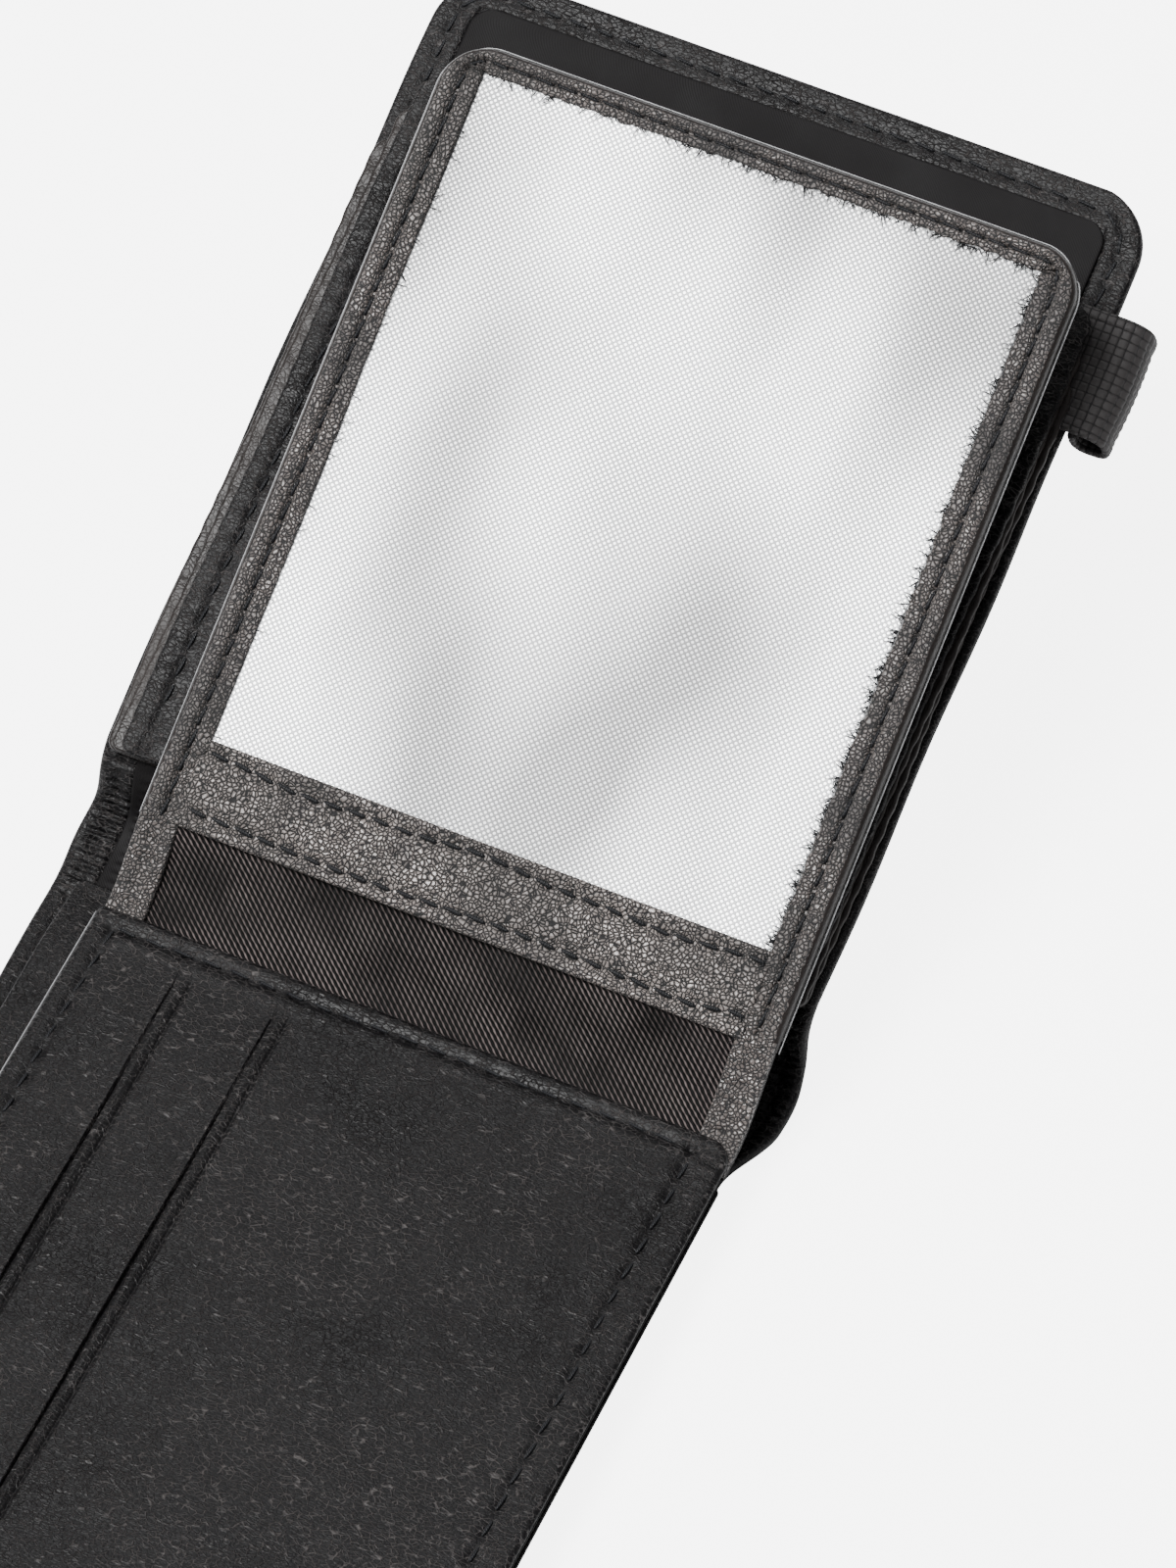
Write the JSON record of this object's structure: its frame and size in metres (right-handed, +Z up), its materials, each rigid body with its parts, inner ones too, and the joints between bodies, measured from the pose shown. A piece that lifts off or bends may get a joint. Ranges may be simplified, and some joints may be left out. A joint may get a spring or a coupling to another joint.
{
  "type": "trifold wallet",
  "caption": "Leather wallet with two cover panels, a curved spine, a hinged document leaf with a cloth window, card slits, a side pocket and a pen loop.",
  "frame": {"origin": "middle of the left cover's underside, which lies flat on the table", "axes": "+X across the wallet from the note opening side to the closed side, +Y from the left panel over the spine to the right panel, +Z up from the table"},
  "size_m": [0.1019, 0.2268, 0.0612],
  "materials": {
    "smooth_leather": "smooth black leather with a fine crease grain, low sheen",
    "grain_leather": "black leather with a raised pebble grain that catches the light",
    "lining_cloth": "thin black lining cloth, matt",
    "twill_cloth": "brown-black twill with a fine diagonal rib, soft sheen",
    "window_cloth": "silver-white plain weave with a soft sparkle",
    "white_card": "plain white card",
    "seam_thread": "blue-grey polyester sewing thread",
    "elastic_webbing": "ribbed black elastic webbing"
  },
  "bodies": {
    "left_panel": {"outer_cover_left": "smooth_leather", "cover_seam_thread_left": "seam_thread", "cover_lining_left": "lining_cloth", "note_divider": "smooth_leather", "card_panel_backing": "smooth_leather", "card_pocket_lining_1": "lining_cloth", "card_pocket_lining_2": "lining_cloth", "card_panel": "smooth_leather", "card_panel_seam_thread_fold": "seam_thread", "card_panel_seam_thread_closed_side": "seam_thread", "card_panel_seam_thread_open_side": "seam_thread", "leaf_anchor_tongue": "twill_cloth"},
    "spine": {"spine_cover": "smooth_leather", "spine_lining": "lining_cloth"},
    "right_panel": {"outer_cover_right": "smooth_leather", "cover_seam_thread_right": "seam_thread", "cover_lining_right": "lining_cloth", "right_slot_layer_1": "smooth_leather", "right_slot_layer_2": "smooth_leather", "right_pocket_panel": "smooth_leather", "pen_loop": "elastic_webbing"},
    "leaf_root": {"leaf_fold_strip": "twill_cloth"},
    "document_leaf": {"leaf_back_panel": "smooth_leather", "leaf_frame": "grain_leather", "leaf_frame_seam_thread": "seam_thread", "window_strip": "grain_leather", "strip_seam_thread_lower": "seam_thread", "strip_seam_thread_upper": "seam_thread", "window_mesh": "window_cloth", "window_insert": "white_card", "leaf_pocket_lining": "twill_cloth"}
  },
  "joints": [
    {"name": "spine_roll", "type": "hinge", "parent": "left_panel", "child": "spine", "pos_m": [0, 0.05573, 0.0006], "axis": [1, 0, 0], "range_deg": [-4.17, 33.55], "deforming": ["spine_cover", "spine_lining"]},
    {"name": "cover_fold", "type": "hinge", "parent": "spine", "child": "right_panel", "pos_m": [0, 0.06538, 0.01076], "axis": [1, 0, 0], "range_deg": [-15.58, 126.8]},
    {"name": "leaf_lead", "type": "hinge", "parent": "left_panel", "child": "leaf_root", "pos_m": [0.0038, 0.05823, 0.0111], "axis": [1, 0, 0], "range_deg": [-18.84, 152.95]},
    {"name": "leaf_turn", "type": "hinge", "parent": "leaf_root", "child": "document_leaf", "pos_m": [0.0038, 0.05823, 0.0111], "axis": [-1, 0, 0], "range_deg": [-152.9, 0]}
  ],
  "couplings": [
    {"joint": "spine_roll", "follows": "cover_fold", "ratio": 0.2642},
    {"joint": "leaf_lead", "follows": "cover_fold", "ratio": 1.2058}
  ]
}
